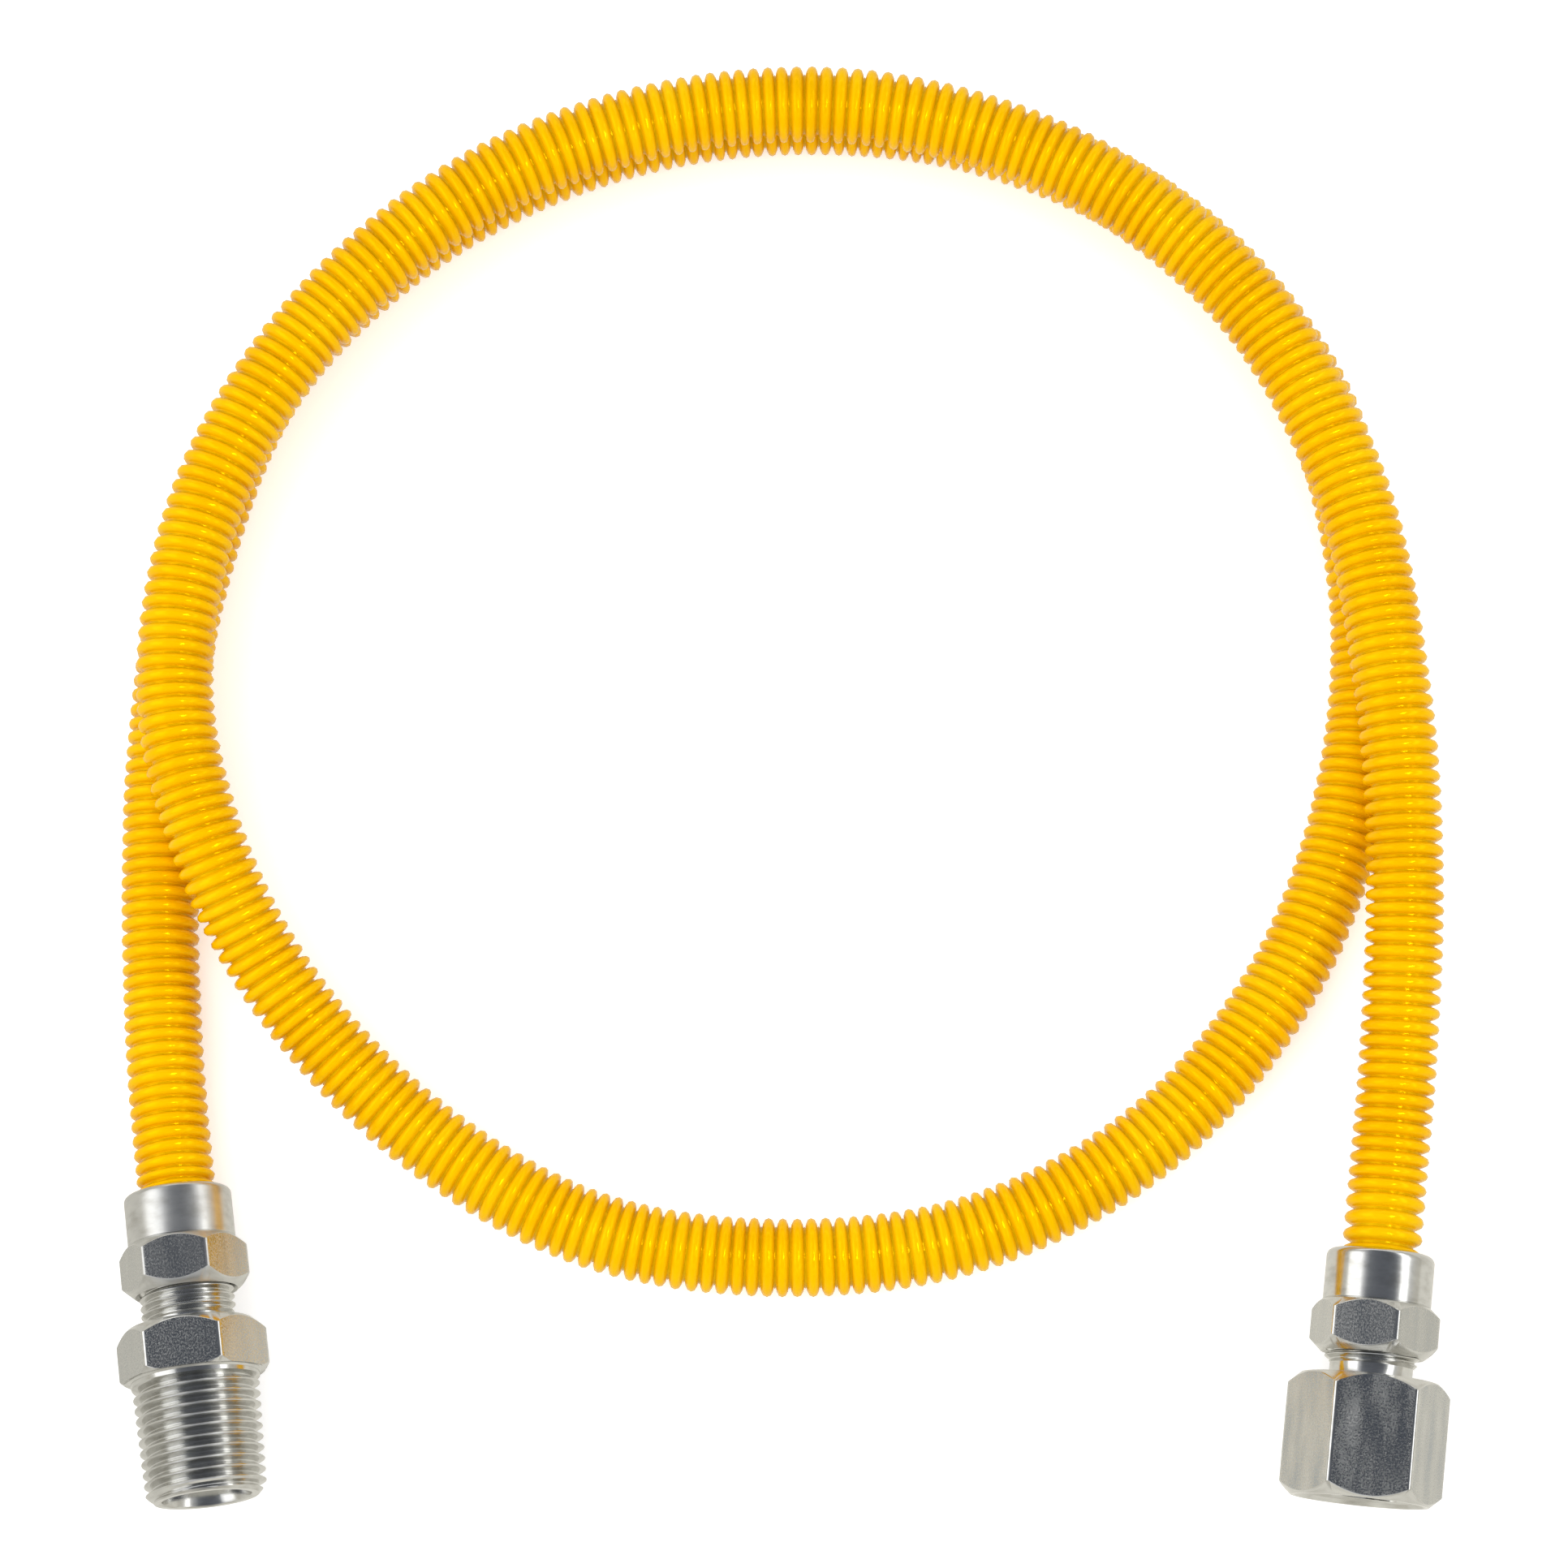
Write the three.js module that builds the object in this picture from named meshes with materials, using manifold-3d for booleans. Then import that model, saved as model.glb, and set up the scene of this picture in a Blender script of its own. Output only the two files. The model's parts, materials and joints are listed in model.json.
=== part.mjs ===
// A flexible gas hose that lies in one and a half turns, with a threaded adapter on each end.
// Millimetres, +Z up. The hose rests on z = 0, and both ends point towards -Y.
// Each end has its own frame: the origin at the rear of the flare nut, +Z along the fitting, outwards.
import * as THREE from "three";
import { mergeVertices } from "three/addons/utils/BufferGeometryUtils.js";
import Module from "manifold-3d";

const wasm = await Module();
wasm.setup();

// Clearances
const jointGap = 0.3; // between parts that touch
const strandGap = 0.3; // between two strands of the hose that lie on each other
const lap = 1; // how far solids that are joined or cut reach past the face between them

// Hose: a thin plastic coating over a corrugated steel tube
const hoseRadius = 6.6; // crest of the coated corrugations
const coatingWall = 0.6;
const tubeWall = 1.0; // envelope of the corrugations, crest to root
const hoseSides = 10;
const hoseSteps = 58;
const coatingInNut = 4; // how far the coating reaches into each nut
const tubePastCoating = 1.2; // how far the corrugations go on past the coating

// Plain end of the steel tube, flared to 45 degrees
const plainTubeRadius = 5.1;
const plainTubeWall = 0.5;
const flareWidth = 1.6; // how far the flare spreads beyond the plain tube
const plainTubeLap = 2; // how far it reaches back inside the corrugated stretch that the coating covers

// Flare nut
const nutSkirtRadius = 9.05;
const nutSkirtLength = 8.1;
const nutSkirtRound = 1.7;
const nutHexFlats = 19.05;
const nutHexLength = 8.7;
const nutHexRearChamfer = 1.9;
const nutHexFrontChamfer = 2.2;
const nutShoulderAt = 7.2; // where the bore starts to widen for the flare

// Flare thread, 5/8-18
const flareThreadRadius = 7.94;
const flareThreadPitch = 1.411;
const flareThreadDepth = 0.87;

// Male adapter
const maleExposedThread = 5.6; // flare thread that shows between nut and hex
const maleHexFlats = 22.2;
const maleHexLength = 8.7;
const maleHexRearChamfer = 2.2;
const maleHexFrontChamfer = 0.9;
const maleNeckLength = 1.3;
const malePipeLength = 20.6;
const maleEndRing = 8.7; // outer radius of the flat ring at the end of the thread
const malePipeBore = 7;
const malePipeBoreDepth = 13;

// Female adapter
const femaleExposed = 3.9; // run-out and neck between nut and hex
const femaleRunOut = 1.8;
const femaleHexFlats = 23.8;
const femaleHexLength = 20.4;
const femaleHexChamfer = 2.1;
const femaleSocketRadius = 10.2;
const femaleSocketDepth = 15;

// Pipe thread, 1/2-14, taper 1 in 16 on the diameter
const pipeThreadRadius = 10.67;
const pipeThreadPitch = 1.814;
const pipeThreadDepth = 1.3;
const pipeTaper = 1 / 32;

const adapterBore = 4.3;
const adapterNeck = 6.95;
const mouthChamfer = 0.7; // at the mouth of the bore and of the socket
const threadShoulder = 1; // plain neck between the flare thread and the male hex
const pipeNeckStep = 0.1; // how far the neck behind the pipe thread stands above its crests
const pipeNeckRelief = 0.3; // where that neck starts to fall to the thread's root

// Where each fitting lies: the rear of its nut, the heading and pitch of its axis, and its roll
const maleEnd = { rear: [-101.3, -73.4, 9.35], heading: -82.4, pitch: 4.8, nutRoll: 2.5, adapterRoll: 2.5 };
const femaleEnd = { rear: [101.4, -83.9, 12.6], heading: -96.4, pitch: -1, nutRoll: 16, adapterRoll: 0 };

// The hose's route between the fittings, as x, y and how high the strand lies: 0 on the floor, 1 on top
// of another strand. It starts at the male end, passes under the last turn, and ends on top of the first.
const route = [
  [-104.6, -46, 0.04],
  [-106, -20.5, 0.01],
  [-105.8, 5, 0],
  [-102.3, 34, 0],
  [-90, 69.5, 0],
  [-65, 96.5, 0],
  [-33.5, 113.5, 0],
  [1, 120, 0],
  [37, 116, 0],
  [70, 99.5, 0],
  [93.5, 70, 0],
  [102.5, 33.5, 0],
  [99.5, -2.5, 0],
  [87, -35.5, 0],
  [64.5, -62.5, 0],
  [34.5, -79, 0],
  [1, -83.5, 0],
  [-32, -78.5, 0.01],
  [-61.5, -61.5, 0.07],
  [-84.5, -37.5, 0.42],
  [-97.5, -12, 0.87],
  [-102.8, 14, 1],
  [-97, 48.5, 1],
  [-78, 80, 1],
  [-50, 103.5, 1],
  [-16.5, 115.5, 1],
  [19, 116.5, 1],
  [53.5, 105, 1],
  [81.5, 81.5, 1],
  [98.5, 48.5, 1],
  [105, 12, 0.99],
  [106.5, -20, 0.82],
  [105, -50, 0.57],
];
const tailLength = 14; // straight hose behind each nut

const degrees = Math.PI / 180;
const nutLength = nutSkirtLength + nutHexLength;
const nutThreadBore = flareThreadRadius + jointGap;
const tubeRadius = hoseRadius - coatingWall - jointGap;

const materials = {
  coating: new THREE.MeshStandardMaterial({ color: 0xf2b200, roughness: 0.35, metalness: 0 }),
  tube: new THREE.MeshStandardMaterial({ color: 0x9a9a96, roughness: 0.35, metalness: 1 }),
  maleNut: new THREE.MeshStandardMaterial({ color: 0xc6c6c2, roughness: 0.3, metalness: 1 }),
  femaleNut: new THREE.MeshStandardMaterial({ color: 0xc6c6c2, roughness: 0.3, metalness: 1 }),
  maleAdapter: new THREE.MeshStandardMaterial({ color: 0xb9b9b4, roughness: 0.32, metalness: 1 }),
  femaleAdapter: new THREE.MeshStandardMaterial({ color: 0xb9b9b4, roughness: 0.32, metalness: 1 }),
};

// Solids

function solidOf(geometry) {
  const plain = new THREE.BufferGeometry();
  plain.setAttribute("position", geometry.getAttribute("position").clone());
  if (geometry.index) plain.setIndex(geometry.index.clone());
  const merged = mergeVertices(plain, 1e-4);
  return new wasm.Manifold(
    new wasm.Mesh({
      numProp: 3,
      vertProperties: new Float32Array(merged.attributes.position.array),
      triVerts: new Uint32Array(merged.index.array),
    }),
  );
}

function meshOf(name, solid, material) {
  const { vertProperties, triVerts, numProp } = solid.getMesh();
  const geometry = new THREE.BufferGeometry();
  const corners = new Float32Array(triVerts.length * 3);
  triVerts.forEach((v, i) => {
    corners.set(vertProperties.subarray(v * numProp, v * numProp + 3), i * 3);
  });
  geometry.setAttribute("position", new THREE.BufferAttribute(corners, 3));
  geometry.computeVertexNormals();
  const mesh = new THREE.Mesh(geometry, material);
  mesh.name = name;
  return mesh;
}

// Turns a profile of [radius, height] points, rising along the outside, round the Z axis.
function turned(profile, segments = 36) {
  const points = profile.map(([radius, height]) => new THREE.Vector2(radius, height));
  return solidOf(new THREE.LatheGeometry(points, segments).rotateX(90 * degrees));
}

// A hexagon bar from bottom to top with its corners turned off at both ends. One flat faces +Y.
function hexBar(flats, bottom, top, rearChamfer, frontChamfer) {
  const corner = flats / Math.sqrt(3);
  const height = top - bottom;
  const bar = new THREE.CylinderGeometry(corner, corner, height, 6)
    .rotateX(90 * degrees)
    .rotateZ(30 * degrees)
    .translate(0, 0, bottom + height / 2);
  const limit = turned(
    [
      [0, bottom],
      [corner - rearChamfer, bottom],
      [corner, bottom + rearChamfer],
      [corner, top - frontChamfer],
      [corner - frontChamfer, top],
      [0, top],
    ],
    42,
  );
  return solidOf(bar).intersect(limit);
}

// A rod whose whole side is one right-hand thread, to be cut to its outline afterwards.
// The radius is the crest's at the height `at`, and shrinks by `taper` for each millimetre of height.
function threadedRod({ radius, pitch, depth, taper = 0, at = 0, from, to, segments = 20 }) {
  const flat = 0.09; // crest and root flats, as a share of the pitch
  const outline = [[0, 0], [flat, 0], [0.5, 1], [0.5 + flat, 1]];
  const turns = Math.ceil((to - from) / pitch) + 1;
  const start = from - pitch;
  const rows = segments * turns;
  const positions = [];
  const index = [];
  const cornerAt = (row, column) => {
    const height = start + pitch * (row / segments + outline[column][0]);
    const reach = radius - taper * (height - at) - depth * (1 - outline[column][1]);
    const angle = (2 * Math.PI * (row % segments)) / segments;
    positions.push(reach * Math.cos(angle), reach * Math.sin(angle), height);
  };
  for (let row = 0; row <= rows; row++) {
    for (let column = 0; column < 4; column++) cornerAt(row, column);
  }
  for (let row = rows + 1; row <= rows + segments; row++) cornerAt(row, 0);
  const vertex = (row, column) => {
    if (column === 4) return vertex(row + segments, 0);
    return row <= rows ? row * 4 + column : rows * 4 + 4 + (row - rows - 1);
  };
  for (let row = 0; row < rows; row++) {
    for (let column = 0; column < 4; column++) {
      const [a, b] = [vertex(row, column), vertex(row + 1, column)];
      const [c, d] = [vertex(row + 1, column + 1), vertex(row, column + 1)];
      index.push(a, b, c, a, c, d);
    }
  }
  const low = positions.length / 3;
  positions.push(0, 0, start);
  const high = low + 1;
  positions.push(0, 0, start + pitch * (turns + 1));
  for (let step = 0; step < segments; step++) {
    index.push(low, vertex(step + 1, 0), vertex(step, 0));
    index.push(high, vertex(rows + step, 0), vertex(rows + step + 1, 0));
  }
  for (let column = 0; column < 4; column++) {
    index.push(low, vertex(0, column), vertex(0, column + 1));
    index.push(high, vertex(rows, column + 1), vertex(rows, column));
  }
  const geometry = new THREE.BufferGeometry();
  geometry.setAttribute("position", new THREE.Float32BufferAttribute(positions, 3));
  geometry.setIndex(index);
  return solidOf(geometry);
}

// Flare joint: nut shoulder, flared tube and adapter nose are three nested 45 degree cones, each a
// joint gap from the next. A cone is known by the height at which it would meet the axis.

const acrossCone = Math.SQRT2; // axial distance for each millimetre square to a 45 degree cone
const shoulderApex = nutShoulderAt - (plainTubeRadius + jointGap);
const flareOuterApex = shoulderApex + jointGap * acrossCone;
const flareInnerApex = flareOuterApex + plainTubeWall * acrossCone;
const noseApex = flareInnerApex + jointGap * acrossCone;
const noseTip = noseApex + adapterBore + jointGap;

function flareNut(name, material) {
  const rounding = [0, 1, 2, 3].map((step) => {
    const turn = (step / 3) * 90 * degrees;
    return [
      nutSkirtRadius - nutSkirtRound * (1 - Math.sin(turn)),
      nutSkirtRound * (1 - Math.cos(turn)),
    ];
  });
  const skirtTop = nutSkirtLength + lap;
  const skirt = turned([[0, 0], ...rounding, [nutSkirtRadius, skirtTop], [0, skirtTop]]);
  const hex = hexBar(nutHexFlats, nutSkirtLength, nutLength, nutHexRearChamfer, nutHexFrontChamfer);
  const hoseSeat = coatingInNut + tubePastCoating + jointGap;
  const bore = turned([
    [0, -lap],
    [hoseRadius + jointGap, -lap],
    [hoseRadius + jointGap, hoseSeat],
    [plainTubeRadius + jointGap, hoseSeat],
    [plainTubeRadius + jointGap, nutShoulderAt],
    [nutThreadBore, shoulderApex + nutThreadBore],
    [nutThreadBore, nutLength + lap],
    [0, nutLength + lap],
  ]);
  return meshOf(name, skirt.add(hex).subtract(bore), material);
}

// The adapter's end inside the nut: a 45 degree nose, then flare thread up to threadEnd, then a neck.
function flareSpigot(threadEnd, hexStart) {
  const reach = flareThreadRadius + jointGap; // the limit stays clear of the thread's crests
  const rod = threadedRod({
    radius: flareThreadRadius,
    pitch: flareThreadPitch,
    depth: flareThreadDepth,
    from: noseTip,
    to: threadEnd,
  });
  const limit = turned([
    [0, noseTip],
    [adapterBore + jointGap, noseTip],
    [reach, noseApex + reach],
    [reach, threadEnd - (reach - adapterNeck)],
    [adapterNeck, threadEnd],
    [0, threadEnd],
  ]);
  const neck = turned([
    [0, noseTip + lap],
    [adapterBore + jointGap, noseTip + lap],
    [adapterNeck, noseApex + adapterNeck + lap],
    [adapterNeck, hexStart + lap],
    [0, hexStart + lap],
  ]);
  return rod.intersect(limit).add(neck);
}

function maleAdapter(name, material) {
  const hexStart = nutLength + maleExposedThread;
  const hexEnd = hexStart + maleHexLength;
  const end = hexEnd + malePipeLength;
  const hex = hexBar(maleHexFlats, hexStart, hexEnd, maleHexRearChamfer, maleHexFrontChamfer);
  const threadStart = hexEnd + maleNeckLength;
  const rod = threadedRod({
    radius: pipeThreadRadius,
    pitch: pipeThreadPitch,
    depth: pipeThreadDepth,
    taper: pipeTaper,
    at: threadStart,
    from: hexEnd - lap,
    to: end,
  });
  const endCrest = pipeThreadRadius - (malePipeLength - maleNeckLength) * pipeTaper;
  const thread = rod.intersect(
    turned([
      [0, hexEnd - lap],
      [pipeThreadRadius + lap, hexEnd - lap],
      [pipeThreadRadius + lap, threadStart],
      [endCrest + pipeNeckStep, end - (endCrest + pipeNeckStep - maleEndRing)],
      [maleEndRing, end],
      [0, end],
    ]),
  );
  const neckRadius = pipeThreadRadius + pipeNeckStep;
  const neckEnd = threadStart + pipeThreadDepth - pipeNeckRelief;
  const neck = turned([
    [0, hexEnd - lap],
    [neckRadius, hexEnd - lap],
    [neckRadius, threadStart - pipeNeckRelief],
    [pipeThreadRadius - pipeThreadDepth, neckEnd],
    [0, neckEnd],
  ]);
  const bore = turned([
    [0, noseTip - lap],
    [adapterBore, noseTip - lap],
    [adapterBore, end - malePipeBoreDepth - (malePipeBore - adapterBore)],
    [malePipeBore, end - malePipeBoreDepth],
    [malePipeBore, end - mouthChamfer],
    [malePipeBore + mouthChamfer + lap, end + lap],
    [0, end + lap],
  ]);
  const spigot = flareSpigot(hexStart - threadShoulder, hexStart);
  return meshOf(name, hex.add(thread).add(neck).add(spigot).subtract(bore), material);
}

function femaleAdapter(name, material) {
  const hexStart = nutLength + femaleExposed;
  const end = hexStart + femaleHexLength;
  const hex = hexBar(femaleHexFlats, hexStart, end, femaleHexChamfer, femaleHexChamfer);
  const socketEnd = femaleSocketRadius - femaleSocketDepth * pipeTaper;
  const drillTip = (socketEnd - adapterBore) / 2;
  const bore = turned([
    [0, noseTip - lap],
    [adapterBore, noseTip - lap],
    [adapterBore, end - femaleSocketDepth - drillTip],
    [socketEnd, end - femaleSocketDepth],
    [femaleSocketRadius, end - mouthChamfer],
    [femaleSocketRadius + mouthChamfer + lap, end + lap],
    [0, end + lap],
  ]);
  const spigot = flareSpigot(nutLength + femaleRunOut, hexStart);
  return meshOf(name, hex.add(spigot).subtract(bore), material);
}

// Hose

function axisOf({ heading, pitch }) {
  const level = Math.cos(pitch * degrees);
  return new THREE.Vector3(
    level * Math.cos(heading * degrees),
    level * Math.sin(heading * degrees),
    Math.sin(pitch * degrees),
  );
}

function alongEnd(end, distance) {
  return new THREE.Vector3(...end.rear).addScaledVector(axisOf(end), distance);
}

// The hose's centreline, from `reach` inside the male nut to `reach` inside the female nut.
function centreline(reach) {
  const between = route.map(
    ([x, y, level]) =>
      new THREE.Vector3(x, y, hoseRadius + level * (2 * hoseRadius + strandGap)),
  );
  const curve = new THREE.CatmullRomCurve3(
    [
      alongEnd(maleEnd, reach),
      alongEnd(maleEnd, -tailLength / 3),
      alongEnd(maleEnd, -tailLength),
      ...between,
      alongEnd(femaleEnd, -tailLength),
      alongEnd(femaleEnd, -tailLength / 3),
      alongEnd(femaleEnd, reach),
    ],
    false,
    "centripetal",
  );
  curve.arcLengthDivisions = 900;
  return curve;
}

function ringOf(radius) {
  return Array.from({ length: hoseSides }, (_, side) => {
    const angle = (2 * Math.PI * side) / hoseSides;
    return new THREE.Vector2(radius * Math.cos(angle), radius * Math.sin(angle));
  });
}

function sleeve(outer, wall, curve) {
  const section = new THREE.Shape(ringOf(outer));
  section.holes.push(new THREE.Path(ringOf(outer - wall).reverse()));
  return solidOf(
    new THREE.ExtrudeGeometry(section, { steps: hoseSteps, extrudePath: curve, bevelEnabled: false }),
  );
}

// The plain, flared end of the steel tube, in the frame of its fitting.
function flaredEnd(end) {
  const inner = plainTubeRadius - plainTubeWall;
  const start = coatingInNut - plainTubeLap;
  const lip = plainTubeRadius + flareWidth;
  const slant = plainTubeWall / Math.SQRT2;
  const ring = turned(
    [
      [inner, start],
      [plainTubeRadius, start],
      [plainTubeRadius, flareOuterApex + plainTubeRadius],
      [lip, flareOuterApex + lip],
      [lip - slant, flareInnerApex + lip - slant],
      [inner, flareInnerApex + inner],
      [inner, start],
    ],
    32,
  );
  return ring.transform(frameOf(end, 0).elements);
}

// The frame of a fitting: +Z outwards along its axis, +Y as near to upwards as the axis allows.
function frameOf(end, roll) {
  const out = axisOf(end);
  const side = new THREE.Vector3(0, 0, 1).cross(out).normalize();
  const up = out.clone().cross(side);
  return new THREE.Matrix4()
    .makeBasis(side, up, out)
    .multiply(new THREE.Matrix4().makeRotationZ(roll * degrees))
    .setPosition(...end.rear);
}

function placed(mesh, end, roll) {
  mesh.applyMatrix4(frameOf(end, roll));
  return mesh;
}

function groupOf(name, ...children) {
  const group = new THREE.Group();
  group.name = name;
  group.add(...children);
  return group;
}

const coating = meshOf(
  "yellow_coating",
  sleeve(hoseRadius, coatingWall, centreline(coatingInNut)),
  materials.coating,
);
const tube = meshOf(
  "steel_tube",
  sleeve(tubeRadius, tubeWall, centreline(coatingInNut + tubePastCoating))
    .add(flaredEnd(maleEnd))
    .add(flaredEnd(femaleEnd)),
  materials.tube,
);

export default groupOf(
  "flexible_gas_hose",
  groupOf("hose", coating, tube),
  groupOf(
    "male_end",
    placed(flareNut("male_end_nut", materials.maleNut), maleEnd, maleEnd.nutRoll),
    placed(maleAdapter("male_adapter", materials.maleAdapter), maleEnd, maleEnd.adapterRoll),
  ),
  groupOf(
    "female_end",
    placed(flareNut("female_end_nut", materials.femaleNut), femaleEnd, femaleEnd.nutRoll),
    placed(femaleAdapter("female_adapter", materials.femaleAdapter), femaleEnd, femaleEnd.adapterRoll),
  ),
);
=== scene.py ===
"""A flexible gas hose: corrugated yellow hose, flare nuts and pipe adapters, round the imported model."""

import json
import math
import random

import bmesh
import bpy
from bpy.props import FloatProperty, FloatVectorProperty, IntProperty, PointerProperty, StringProperty
from mathutils import Matrix, Vector


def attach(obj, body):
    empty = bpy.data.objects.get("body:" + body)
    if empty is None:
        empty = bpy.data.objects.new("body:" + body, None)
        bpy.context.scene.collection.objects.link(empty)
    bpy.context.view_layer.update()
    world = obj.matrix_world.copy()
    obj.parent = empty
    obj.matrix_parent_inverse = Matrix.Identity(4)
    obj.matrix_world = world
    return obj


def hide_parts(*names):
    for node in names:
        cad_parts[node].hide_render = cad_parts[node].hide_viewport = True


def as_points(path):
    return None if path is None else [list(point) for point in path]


bl_info = {
    "name": "Flexible Gas Hose",
    "version": (1, 0, 0),
    "blender": (4, 5, 0),
    "location": "View3D > Sidebar > Gas Hose",
    "description": "Builds a coated corrugated gas hose with its nuts and adapters",
    "category": "Object",
}

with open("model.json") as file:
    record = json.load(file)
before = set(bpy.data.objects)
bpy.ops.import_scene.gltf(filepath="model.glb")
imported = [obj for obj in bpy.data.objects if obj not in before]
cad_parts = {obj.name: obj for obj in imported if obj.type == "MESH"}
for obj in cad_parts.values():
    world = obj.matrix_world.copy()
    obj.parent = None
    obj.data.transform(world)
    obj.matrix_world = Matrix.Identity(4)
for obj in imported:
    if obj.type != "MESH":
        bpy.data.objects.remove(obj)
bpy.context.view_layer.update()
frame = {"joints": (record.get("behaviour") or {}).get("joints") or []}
MM = 0.001

# Sizes that the solids have too, in metres
HOSE_RADIUS = 6.6 * MM
STRAND_GAP = 0.3 * MM
COATING_IN_NUT = 4 * MM
TUBE_PAST_COATING = 1.2 * MM
TAIL = 14 * MM
PLAIN_TUBE_RADIUS = 5.1 * MM
PLAIN_TUBE_WALL = 0.5 * MM
FLARE_WIDTH = 1.6 * MM
JOINT_GAP = 0.3 * MM
NUT_SKIRT_RADIUS = 9.05 * MM
NUT_SKIRT_LENGTH = 8.1 * MM
NUT_FLATS = 19.05 * MM
NUT_HEX_LENGTH = 8.7 * MM
NUT_CHAMFERS = (1.9 * MM, 2.2 * MM)
NUT_LENGTH = NUT_SKIRT_LENGTH + NUT_HEX_LENGTH
NUT_SHOULDER = 7.2 * MM
FLARE_THREAD_RADIUS = 7.94 * MM
FLARE_THREAD_PITCH = 1.411 * MM
FLARE_THREAD_DEPTH = 0.87 * MM
PIPE_THREAD_RADIUS = 10.67 * MM
PIPE_THREAD_PITCH = 1.814 * MM
PIPE_THREAD_DEPTH = 1.3 * MM
PIPE_TAPER = 1 / 32
ADAPTER_BORE = 4.3 * MM
ADAPTER_NECK = 6.95 * MM
MALE_EXPOSED = 5.6 * MM
MALE_THREAD_SHOULDER = 1 * MM
MALE_FLATS = 22.2 * MM
MALE_HEX_LENGTH = 8.7 * MM
MALE_CHAMFERS = (2.2 * MM, 0.9 * MM)
MALE_NECK = 1.3 * MM
MALE_NECK_STEP = 0.1 * MM
MALE_NECK_RELIEF = 0.3 * MM
MALE_PIPE_LENGTH = 20.6 * MM
MALE_END_RING = 8.7 * MM
MALE_BORE = 7 * MM
MALE_BORE_DEPTH = 13 * MM
FEMALE_EXPOSED = 3.9 * MM
FEMALE_RUN_OUT = 1.8 * MM
FEMALE_FLATS = 23.8 * MM
FEMALE_HEX_LENGTH = 20.4 * MM
FEMALE_CHAMFERS = (2.1 * MM, 2.1 * MM)
SOCKET_RADIUS = 10.2 * MM
SOCKET_DEPTH = 15 * MM
SOCKET_MOUTH = 0.7 * MM

# Sizes of details that the solids don't have, in metres
CREST_RADIUS = HOSE_RADIUS + 0.1 * MM
TUBE_WALL = 0.3 * MM
TUBE_CLEARANCE = 0.12 * MM
PLAIN_END_GAP = 0.2 * MM
SKIRT_LIP = 0.5 * MM
SKIRT_MOUTH = 0.25 * MM
SKIRT_ROUNDINGS = {"male": 1.0 * MM, "female": 1.3 * MM}
NUT_MOUTH = 0.35 * MM
NECK_FILLET = 0.5 * MM
NECK_FILLET_STEP = 0.15 * MM
MALE_MOUTH = 7.45 * MM
MALE_MOUTH_DEPTH = 1.8 * MM
MALE_MOUTH_EDGE = 0.2 * MM

# How finely curves are divided: points of the centreline between two of the route, those that one point
# of the path worked out by the declare operator stands for, faces round the tube, rings of a skirt's
# rounding, and rows in one turn of a thread
CURVE_STEPS = 60
DECLARED_STEP = 12
TUBE_SIDES = 20
ROUNDING_STEPS = 8
THREAD_STEPS = 12

# How far each nut and adapter is turned about its own axis, in degrees
ROLLS = {"male_nut": 2.5, "male_adapter": 2.5, "female_nut": 16, "female_adapter": 0}

# The hose's route between the fittings: x and y in metres, and how high the strand lies, from 0 on the
# floor to 1 on another strand
ROUTE = [
    (-0.1046, -0.046, 0.04),
    (-0.106, -0.0205, 0.01),
    (-0.1058, 0.005, 0),
    (-0.1023, 0.034, 0),
    (-0.09, 0.0695, 0),
    (-0.065, 0.0965, 0),
    (-0.0335, 0.1135, 0),
    (0.001, 0.12, 0),
    (0.037, 0.116, 0),
    (0.07, 0.0995, 0),
    (0.0935, 0.07, 0),
    (0.1025, 0.0335, 0),
    (0.0995, -0.0025, 0),
    (0.087, -0.0355, 0),
    (0.0645, -0.0625, 0),
    (0.0345, -0.079, 0),
    (0.001, -0.0835, 0),
    (-0.032, -0.0785, 0.01),
    (-0.0615, -0.0615, 0.07),
    (-0.0845, -0.0375, 0.42),
    (-0.0975, -0.012, 0.87),
    (-0.1028, 0.014, 1),
    (-0.097, 0.0485, 1),
    (-0.078, 0.08, 1),
    (-0.05, 0.1035, 1),
    (-0.0165, 0.1155, 1),
    (0.019, 0.1165, 1),
    (0.0535, 0.105, 1),
    (0.0815, 0.0815, 1),
    (0.0985, 0.0485, 1),
    (0.105, 0.012, 0.99),
    (0.1065, -0.02, 0.82),
    (0.105, -0.05, 0.57),
]


class HoseSettings(bpy.types.PropertyGroup):
    """Sizes and colour of the hose."""

    pitch: FloatProperty(
        name="Corrugation pitch", description="Crest to crest", default=2.5 * MM, unit="LENGTH"
    )
    depth: FloatProperty(
        name="Corrugation depth", description="Crest to root", default=1.7 * MM, unit="LENGTH"
    )
    wall: FloatProperty(
        name="Coating wall", description="Thickness of the coating", default=0.4 * MM, unit="LENGTH"
    )
    sides: IntProperty(name="Sides", description="Faces round the hose", default=20, min=8)
    yellow: StringProperty(name="Coating colour", description="sRGB hex", default="#FFC400")


class FittingSettings(bpy.types.PropertyGroup):
    """Finish of the metal fittings."""

    edge: FloatProperty(
        name="Edge break", description="Width of each broken edge", default=0.14 * MM, unit="LENGTH"
    )
    corner: FloatProperty(
        name="Corner radius", description="Radius along the hex corners", default=0.9 * MM, unit="LENGTH"
    )
    plating: StringProperty(name="Plating colour", description="sRGB hex", default="#D3D3D0")
    bar: StringProperty(name="Drawn flat colour", description="sRGB hex", default="#C6C6C2")


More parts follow.
